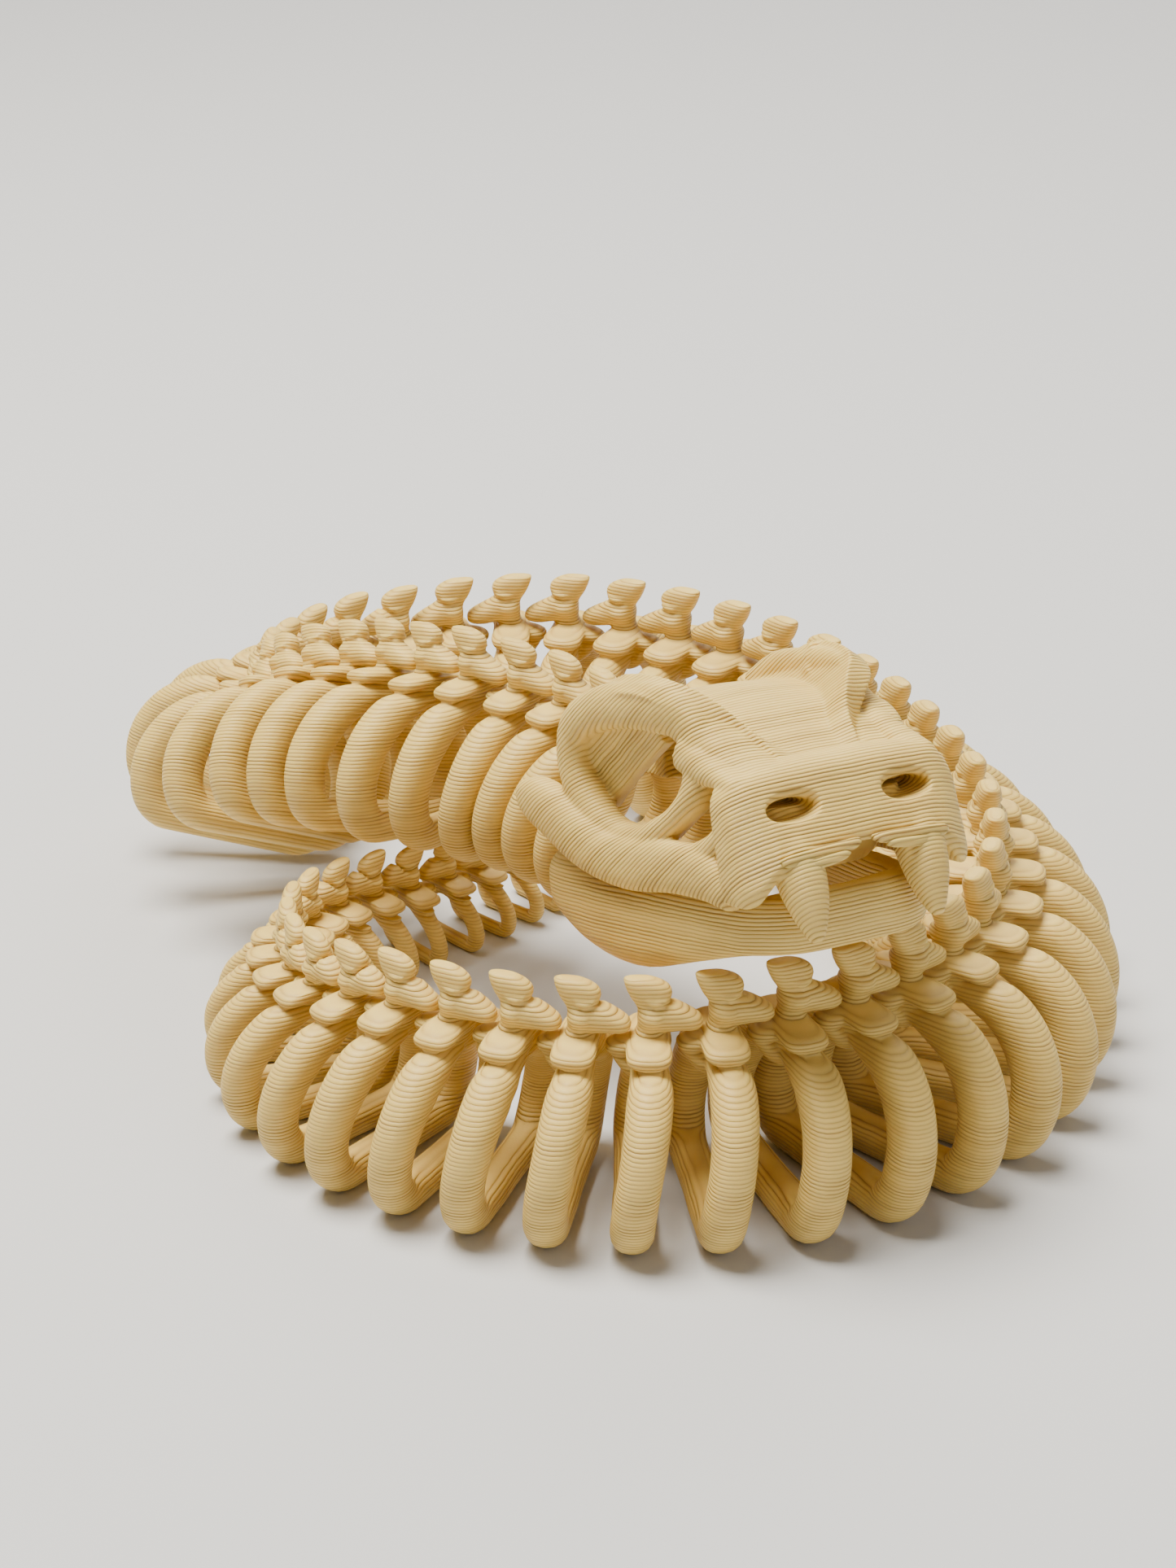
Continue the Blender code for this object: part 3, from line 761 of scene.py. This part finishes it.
@dataclass
class Body:
    """The chain of links from the neck to the tip of the tail."""

    links: int = 58
    start: tuple[float, float] = (2.01, -10.77)
    pin_behind: float = 1.95
    eye_ahead: float = 1.69
    arm_above: float = 0.68
    foot_half: float = 5.4
    neck_end: int = 13
    tail_start: int = 43

    def places(self, link: Link) -> list[Place]:
        """Lay the links along the body's course.

        Args:
            link: The link that is repeated.

        Returns:
            Each link's place, from the neck to the tail.
        """
        rings = [between(RING_SIZE, k) for k in range(self.links)]
        spines = [between(SPINE_SIZE, k) for k in range(self.links)]
        rolls = [math.radians(between(ROLL, k)) for k in range(self.links)]
        heights = []
        for k, (ring, spine, roll) in enumerate(zip(rings, spines, rolls)):
            tall = link.ring_top * ring + link.socket_above * spine
            heights.append(between(LIFT, k) + tall * math.cos(roll)
                           + self.foot_half * ring * abs(math.sin(roll)))
        step = self.pin_behind + self.eye_ahead
        x, y = self.start
        places = []
        for k in range(self.links):
            before, after = heights[max(k - 1, 0)], heights[min(k + 1, self.links - 1)]
            span = step * spines[k] * (2 if k else 1)
            slope = (before - after) / span if k < self.neck_end else 0.0
            heading = math.radians(between(HEADING, k))
            flat = math.cos(math.asin(slope))
            if k:
                x += math.cos(heading) * self.eye_ahead * spines[k] * flat
                y += math.sin(heading) * self.eye_ahead * spines[k] * flat
            turn = (Matrix.Rotation(heading + math.pi, 3, "Z") @ Matrix.Rotation(-math.asin(slope), 3, "Y")
                    @ Matrix.Rotation(-rolls[k], 3, "X"))
            places.append(Place(Vector((x, y, heights[k])), turn, rings[k], spines[k]))
            x += math.cos(heading) * self.pin_behind * spines[k] * flat
            y += math.sin(heading) * self.pin_behind * spines[k] * flat
        return places

    def build(self, finish: PrintedPlastic) -> None:
        """Model the link once and copy it along the body.

        Args:
            finish: The plastic that the links are printed in.
        """
        link = Link()
        master, light = link.build()
        places = self.places(link)
        for k, place in enumerate(places):
            eye = Vector((self.eye_ahead, 0.0, self.arm_above)) * place.spine
            if k:
                ahead = places[k - 1]
                pin = Vector((-self.pin_behind, 0.0, self.arm_above)) * ahead.spine
                eye = place.turn.transposed() @ (ahead.spot + ahead.turn @ pin - place.spot)
            node = "link_%02d" % (k + 1)
            obj = link.fitted(light if k >= self.tail_start else master, "looks_" + node, place, eye)
            Bench.finish(obj, place.spot, place.turn, finish, [node])
        for spare in (master, light):
            bpy.data.objects.remove(spare)
        LOG.info("body: %d links", self.links)


@dataclass
class HeadFrame:
    """Where the skull's own frame lies: x along the snout, y to its left, z up."""

    spot: tuple[float, float, float] = (2.15, -10.6, 18.5)
    turn: tuple[float, float, float] = (-2.6, -14.0, -59.0)

    def matrix(self) -> Matrix:
        """Return the frame's rotation."""
        x, y, z = (math.radians(angle) for angle in self.turn)
        return Matrix.Rotation(z, 3, "Z") @ Matrix.Rotation(y, 3, "Y") @ Matrix.Rotation(x, 3, "X")


@dataclass
class Skull:
    """The skull: roof, eye rims, cheeks, snout, fangs and the hold on the neck.

    Bars are rows as Bench.sweep takes them, and the palate and the hold are rows as Bench.stack takes
    them. Bars without a side in their name lie on the far side and are mirrored, the near rim too. The
    roof's rows are x, height in the middle, y and height of its hollow's edge, y and height of its brow.
    The snout's rows are y, top, bottom, back and front.
    """

    frame: HeadFrame = field(default_factory=HeadFrame)
    roof: Sequence[Row] = ((3.1, 2.2, 2.8, 1.9, 3.9, 1.2), (5.0, 2.8, 4.0, 2.6, 5.2, 3.2),
                           (8.0, 3.4, 4.1, 3.0, 5.5, 4.7), (10.4, 3.4, 3.9, 2.9, 5.3, 4.95),
                           (12.4, 2.8, 3.1, 2.7, 4.9, 4.7), (13.6, 2.3, 2.5, 2.2, 3.9, 3.9),
                           (14.9, 1.7, 1.8, 1.6, 2.9, 2.5), (17.0, 0.8, 1.2, 0.8, 2.2, 0.9))
    roof_thick: float = 1.4
    rim_back: Sequence[Row] = (
        (6.6, 6.05, 2.95, 1.1, 0.95), (4.6, 6.15, 1.9, 1.05, 0.95), (4.05, 6.15, 0.3, 0.95, 0.95),
        (4.6, 6.1, -1.4, 1.0, 0.95), (6.6, 6.0, -3.1, 0.95, 0.9), (9.3, 5.9, -3.35, 0.85, 0.85),
        (11.3, 5.75, -2.55, 0.75, 0.85), (12.7, 5.45, -1.6, 0.64, 0.85))
    near_rim_top: Sequence[Row] = ((11.8, 5.2, 3.4, 1.3, 0.95), (9.2, 5.65, 3.4, 1.2, 0.95))
    near_rim_front: Sequence[Row] = ((13.8, 5.2, -0.5, 0.8, 0.9), (14.0, 4.9, 0.8, 0.95, 0.95),
                                     (13.2, 4.6, 2.2, 1.1, 0.95))
    far_rim_top: Sequence[Row] = ((11.8, 5.7, 1.7, 0.95, 0.9), (9.2, 5.75, 2.8, 1.1, 0.95))
    far_rim_front: Sequence[Row] = ((13.9, 5.3, -0.6, 0.8, 0.9), (14.4, 5.5, 0.4, 0.85, 0.9),
                                    (13.4, 5.7, 1.3, 0.85, 0.9))
    far_brow: Sequence[Row] = (
        (3.9, 4.7, 2.3, 0.7, 0.6), (5.8, 5.0, 3.25, 0.85, 0.65), (8.0, 5.1, 3.6, 0.85, 0.65),
        (10.2, 5.1, 3.85, 0.85, 0.62), (12.0, 4.9, 3.7, 0.8, 0.6), (13.2, 4.0, 3.0, 0.75, 0.55))
    funnel: Sequence[Sequence[Row]] = (
        ((4.2, 5.7, 1.4, 1.0, 0.5), (6.3, 5.55, 2.8, 1.0, 0.5), (9.4, 5.2, 3.9, 1.0, 0.5)),
        ((4.2, 5.4, 0.4, 1.1, 0.5), (6.2, 5.25, 2.0, 1.1, 0.5), (9.5, 4.95, 3.5, 1.1, 0.5)),
        ((4.2, 5.15, -0.6, 1.1, 0.5), (6.4, 5.0, 1.1, 1.1, 0.5), (9.8, 4.75, 3.0, 1.1, 0.5)),
        ((4.7, 4.95, -1.6, 1.0, 0.5), (7.0, 4.8, 0.3, 1.0, 0.5), (10.2, 4.6, 2.4, 1.0, 0.5)))
    cheek: Sequence[Row] = (
        (0.3, 7.2, -2.0, 0.3, 0.4), (0.65, 7.2, -1.85, 0.75, 0.75), (1.6, 7.15, -2.0, 1.2, 0.9),
        (3.2, 7.0, -2.6, 1.4, 0.95), (5.2, 6.8, -3.6, 1.4, 0.95), (7.3, 6.6, -4.2, 1.3, 0.9),
        (9.5, 6.4, -4.3, 1.35, 0.85), (12.4, 6.15, -4.05, 1.3, 0.8), (15.2, 5.9, -4.1, 1.25, 0.8),
        (17.4, 5.7, -4.7, 0.95, 0.85))
    strut: Sequence[Row] = ((14.2, 5.7, -3.6, 0.85, 0.8), (15.8, 5.5, -2.7, 0.68, 0.75),
                            (17.4, 5.4, -1.5, 0.68, 0.8), (18.2, 5.3, -0.9, 0.7, 0.8))
    bridge: Sequence[Row] = ((12.9, 5.1, 1.4, 1.0, 0.8), (14.6, 5.1, 0.85, 0.85, 0.85),
                             (16.2, 5.1, 0.6, 0.6, 0.85), (17.7, 5.1, 0.25, 0.5, 0.8))
    near_shoulder: Sequence[Row] = ((12.2, -4.4, 2.9, 0.9, 1.0), (14.0, -4.0, 1.9, 0.9, 1.3),
                                    (15.8, -3.7, 0.85, 0.75, 1.5), (17.6, -3.5, 0.25, 0.7, 1.5))
    far_shoulder: Sequence[Row] = ((12.2, 4.3, 1.9, 0.9, 0.9), (14.0, 3.8, 0.9, 0.9, 1.2),
                                   (15.8, 3.5, 0.2, 0.75, 1.4), (17.6, 3.4, -0.1, 0.7, 1.4))
    palate: Sequence[Row] = ((-4.9, 14.0, 1.5, 3.5), (-3.6, 14.8, 2.1, 3.8), (-2.2, 15.6, 2.3, 4.0),
                             (-1.0, 15.9, 2.1, 4.0))
    fang: Sequence[Row] = ((18.6, 3.45, -2.2, 1.0, 1.1), (19.0, 3.45, -3.1, 1.15, 1.2),
                           (19.45, 3.44, -3.9, 1.18, 1.2), (19.85, 3.43, -4.9, 1.02, 1.08),
                           (20.15, 3.42, -5.8, 0.78, 0.82), (20.35, 3.42, -6.4, 0.56, 0.58),
                           (20.47, 3.42, -6.8, 0.38, 0.38), (20.52, 3.42, -6.98, 0.22, 0.22))
    snout: Sequence[Row] = ((6.6, -2.4, -4.3, 17.5, 18.3), (6.45, -0.6, -5.0, 17.3, 19.0),
                            (6.1, 0.1, -5.15, 17.2, 19.4), (5.6, 0.55, -4.95, 17.1, 19.7),
                            (5.0, 0.8, -4.3, 16.8, 19.9), (3.6, 1.0, -3.35, 15.9, 20.05),
                            (1.8, 1.1, -3.1, 15.7, 20.1), (0.0, 1.1, -2.95, 15.6, 20.1))
    snout_lean: float = 0.45
    snout_lean_from: float = 16.5
    snout_lean_over: float = 1.5
    snout_lip_z: float = -3.0
    snout_face: float = 4.2
    snout_rounding: float = 0.34
    nostril: Sequence[Row] = ((16.6, 3.25, -1.05, 0.42, 1.15), (18.2, 3.25, -1.0, 0.52, 1.3),
                              (18.8, 3.25, -0.92, 0.6, 1.38), (19.1, 3.25, -0.75, 0.8, 1.55),
                              (19.5, 3.25, -0.5, 1.1, 1.85), (20.2, 3.25, -0.2, 1.5, 2.3))
    near_strips: Sequence[Sequence[Row]] = (
        ((19.9, -4.7, -3.1, 0.16, 0.16), (20.1, -4.2, -3.05, 0.3, 0.17), (20.2, -2.4, -2.95, 0.34, 0.17),
         (20.2, -0.9, -2.8, 0.28, 0.17), (20.0, -0.35, -2.75, 0.14, 0.15)),
        ((20.1, -3.9, -3.42, 0.14, 0.13), (20.25, -3.5, -3.4, 0.24, 0.15), (20.35, -2.4, -3.3, 0.26, 0.15),
         (20.35, -1.5, -3.18, 0.22, 0.15), (20.2, -1.1, -3.12, 0.12, 0.13)))
    far_strips: Sequence[Sequence[Row]] = (
        ((20.0, 0.4, -2.75, 0.14, 0.15), (20.2, 0.9, -2.8, 0.28, 0.17), (20.2, 2.4, -2.9, 0.34, 0.17),
         (20.1, 4.2, -3.05, 0.3, 0.17), (19.9, 4.7, -3.1, 0.16, 0.16)),
        ((20.2, 1.0, -3.1, 0.12, 0.13), (20.35, 1.4, -3.14, 0.22, 0.15), (20.35, 2.4, -3.24, 0.26, 0.15),
         (20.25, 3.4, -3.36, 0.24, 0.15), (20.1, 3.8, -3.4, 0.14, 0.13)))
    hold_post: Sequence[Row] = ((-1.6, 3.8, 0.7, 1.3), (0.0, 3.8, 0.7, 1.3), (1.9, 3.8, 0.7, 1.3))
    hold_shelf: Sequence[Row] = ((-1.7, 2.3, 1.1, 0.9), (-1.2, 2.3, 1.1, 0.9), (-0.8, 2.3, 1.1, 0.9))
    hold_pin: Sequence[Row] = ((-1.3, 1.6, 0.25, 0.25), (0.0, 1.6, 0.25, 0.25), (1.15, 1.6, 0.25, 0.25))
    voxel: float = 0.1
    soften: int = 3
    triangles: int = 180000

    def _roof(self) -> bpy.types.Object:
        """Mould a grid into the saddle-shaped roof and give it its thickness.

        Returns:
            The roof.
        """
        Bench.clear()
        bpy.ops.mesh.primitive_grid_add(x_subdivisions=60, y_subdivisions=48, size=2.0,
                                        location=(0.0, 0.0, 0.0))
        obj = bpy.context.object
        obj.name = "roof"
        rows = np.array(self.roof)
        flat = Bench.points(obj)
        x = rows[0, 0] + (flat[:, 0] + 1.0) / 2.0 * (rows[-1, 0] - rows[0, 0])
        curve = np.array(flowing(self.roof, 8))
        middle, notch_y, notch, brow_y, brow = (np.interp(x, curve[:, 0], curve[:, k]) for k in range(1, 6))
        across = np.abs(flat[:, 1])
        y = across * brow_y
        turn = notch_y / brow_y
        z = np.where(across < turn, middle + (notch - middle) * (across / turn) ** 1.5,
                     notch + (brow - notch) * ((across - turn) / (1.0 - turn)))
        Bench.move(obj, np.column_stack([x, np.sign(flat[:, 1]) * y, z]))
        Bench.apply(obj, "SOLIDIFY", thickness=self.roof_thick, offset=-1.0)
        return obj

    def _snout(self) -> bpy.types.Object:
        """Extrude the blunt snout from one side of the head to the other and lean its face back.

        Returns:
            The snout block.
        """
        rows = list(self.snout) + [(-y, *rest) for y, *rest in reversed(self.snout[:-1])]
        levels = [(-y, (back + front) / 2, (front - back) / 2, (top - low) / 2, -(top + low) / 2)
                  for y, top, low, back, front in rows]
        snout = Bench.stack("snout", levels, self.snout_rounding, 3)
        own = Bench.points(snout)
        own = np.column_stack([own[:, 0], own[:, 2], -own[:, 1]])
        share = np.clip((own[:, 0] - self.snout_lean_from) / self.snout_lean_over, 0.0, 1.0)
        own[:, 0] -= self.snout_lean * np.clip(own[:, 2] - self.snout_lip_z, 0.0, self.snout_face) * share
        Bench.move(snout, own)
        self._nostrils(snout)
        return snout

    def build(self, finish: PrintedPlastic) -> None:
        """Model the skull and melt its pieces into one skin.

        Args:
            finish: The plastic that the skull is printed in.
        """
        pieces = [self._roof(), self._snout()]
        near_path = (*self.near_rim_top, *self.rim_back, *self.near_rim_front)
        far_path = (*self.far_rim_top, *self.rim_back, *self.far_rim_front)
        near_rim = Bench.sweep("rim", near_path, Plane.ALONG, closed=True)
        pieces += [Bench.mirror(near_rim), Bench.sweep("far_rim", far_path, Plane.ALONG, closed=True)]
        bpy.data.objects.remove(near_rim)
        pieces.append(Bench.sweep("far_brow", self.far_brow, Plane.ALONG))
        sides = [Bench.sweep("cheek", self.cheek, Plane.ALONG, 0.8),
                 Bench.sweep("strut", self.strut, Plane.ALONG),
                 Bench.sweep("bridge", self.bridge, Plane.ALONG),
                 Bench.sweep("fang", self.fang, Plane.ALONG)]
        sides += [Bench.sweep("funnel", bar, Plane.ALONG, 0.5) for bar in self.funnel]
        pieces += sides + [Bench.mirror(side) for side in sides]
        pieces += [*self._neck_hold(), Bench.stack("palate", self.palate, 0.5)]
        shoulders = (self.near_shoulder, self.far_shoulder)
        pieces += [Bench.sweep("shoulder", bar, Plane.ALONG) for bar in shoulders]
        skull = Bench.join("skull_skin", pieces)
        Bench.fuse(skull, self.voxel, self.soften, self.triangles)
        ledges = (*self.near_strips, *self.far_strips)
        strips = [Bench.sweep("strip", ledge, Plane.ACROSS) for ledge in ledges]
        skull = Bench.join("looks_skull", [skull, *strips])
        Bench.finish(skull, Vector(self.frame.spot), self.frame.matrix(), finish, ["skull"])
        LOG.info("skull: %d faces", len(skull.data.polygons))

    def _neck_hold(self) -> list[bpy.types.Object]:
        """Model the post, the shelf and the pin that hold the first link's eye.

        Returns:
            The three pieces.
        """
        return [Bench.stack("post", self.hold_post, 0.4), Bench.stack("shelf", self.hold_shelf, 0.5),
                Bench.stack("pin", self.hold_pin)]

    def _nostrils(self, snout: bpy.types.Object) -> None:
        """Sink both nostrils into the front of the snout.

        Args:
            snout: The snout block.
        """
        left = Bench.sweep("nostril", self.nostril, Plane.ALONG)
        for tool in (left, Bench.mirror(left)):
            Bench.apply(snout, "BOOLEAN", operation="DIFFERENCE", solver="EXACT", object=tool)
            bpy.data.objects.remove(tool)


@dataclass
class Jaw:
    """The lower jaw, one flat bar bent round the chin."""

    frame: HeadFrame = field(default_factory=HeadFrame)
    arm: Sequence[Row] = ((0.95, 6.15, -6.3, 0.6, 0.45), (1.5, 6.15, -6.35, 1.4, 0.72),
                          (2.6, 6.15, -6.45, 1.9, 0.85), (4.2, 6.1, -7.05, 1.95, 0.92),
                          (6.6, 5.95, -7.6, 1.95, 0.96), (9.2, 5.65, -7.68, 1.97, 0.96),
                          (12.5, 5.2, -7.18, 1.75, 0.95), (16.0, 4.6, -6.8, 1.34, 0.92),
                          (17.4, 3.9, -6.58, 1.42, 0.92), (18.1, 2.6, -6.52, 1.5, 0.9),
                          (18.2, 0.0, -6.58, 1.45, 0.9))
    voxel: float = 0.13
    soften: int = 4

    def build(self, finish: PrintedPlastic) -> None:
        """Sweep the jaw from one hinge to the other.

        Args:
            finish: The plastic that the jaw is printed in.
        """
        other = [(x, -y, z, tall, wide) for x, y, z, tall, wide in reversed(self.arm[:-1])]
        jaw = Bench.sweep("looks_jaw", list(self.arm) + other, Plane.FLOOR, 0.7)
        Bench.apply(jaw, "REMESH", mode="VOXEL", voxel_size=self.voxel, use_smooth_shade=True)
        Bench.apply(jaw, "SMOOTH", factor=SMOOTH_SHARE, iterations=self.soften)
        Bench.finish(jaw, Vector(self.frame.spot), self.frame.matrix(), finish, ["jaw"])
        LOG.info("jaw: %d faces", len(jaw.data.polygons))


@dataclass
class Studio:
    """Pale floor, soft light and the camera."""

    camera_mm: tuple[float, float, float] = (-0.587, -171.636, 88.851)
    camera_pitch: float = 24.45
    lens: float = 78.29
    nearest: float = 0.01
    floor_width: float = 3.0
    floor_drop: float = 0.00002
    paper: tuple[float, float, float, float] = (0.62, 0.62, 0.63, 1.0)
    paper_roughness: float = 0.85
    sky: tuple[float, float, float, float] = (0.9, 0.92, 0.95, 1.0)
    sky_strength: float = 0.15

    def build(self) -> None:
        """Set up the floor, the lights and the camera."""
        Bench.clear()
        bpy.ops.mesh.primitive_plane_add(size=self.floor_width, location=(0.0, 0.0, -self.floor_drop))
        floor = bpy.context.object
        floor.name = "floor"
        material = bpy.data.materials.new("floor_paper")
        material.use_nodes = True
        shader = material.node_tree.nodes["Principled BSDF"]
        shader.inputs["Base Color"].default_value = self.paper
        shader.inputs["Roughness"].default_value = self.paper_roughness
        floor.data.materials.append(material)
        self._light("key", (-0.1, 0.02, 0.4), 0.22, 4.4, (1.0, 0.96, 0.86))
        self._light("fill", (0.3, -0.3, 0.2), 0.35, 0.45, (1.0, 0.98, 0.95))
        self._light("back", (0.1, 0.35, 0.3), 0.3, 0.9, (1.0, 0.98, 0.94))
        world = bpy.data.worlds.new("studio")
        bpy.context.scene.world = world
        world.use_nodes = True
        background = world.node_tree.nodes["Background"]
        background.inputs["Color"].default_value = self.sky
        background.inputs["Strength"].default_value = self.sky_strength
        data = bpy.data.cameras.new("camera")
        data.lens = self.lens
        data.clip_start = self.nearest
        camera = bpy.data.objects.new("camera", data)
        camera.location = [value * MM for value in self.camera_mm]
        camera.rotation_euler = (math.radians(90.0 - self.camera_pitch), 0.0, 0.0)
        bpy.context.scene.collection.objects.link(camera)
        bpy.context.scene.camera = camera
        LOG.info("studio ready")

    @staticmethod
    def _light(name: str, spot: Row, size: float, power: float, colour: Row) -> None:
        """Hang a soft light that points at the toy.

        Args:
            name: The light's name.
            spot: Its place in metres.
            size: The width of its panel in metres.
            power: Its power in watts.
            colour: Its colour.
        """
        data = bpy.data.lights.new(name, "AREA")
        data.size = size
        data.energy = power
        data.color = colour
        lamp = bpy.data.objects.new(name, data)
        lamp.location = spot
        lamp.rotation_euler = (-Vector(spot)).to_track_quat("-Z", "Y").to_euler()
        bpy.context.scene.collection.objects.link(lamp)


def main() -> None:
    """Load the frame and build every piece."""
    logging.basicConfig(level=logging.INFO, format="%(name)s: %(message)s")
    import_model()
    Body().build(PrintedPlastic("link_plastic"))
    Skull().build(PrintedPlastic("skull_plastic", build=(0.0, 36.0, 0.0), relief=0.000062))
    Jaw().build(PrintedPlastic("jaw_plastic"))
    Studio().build()


if __name__ == "__main__":
    main()
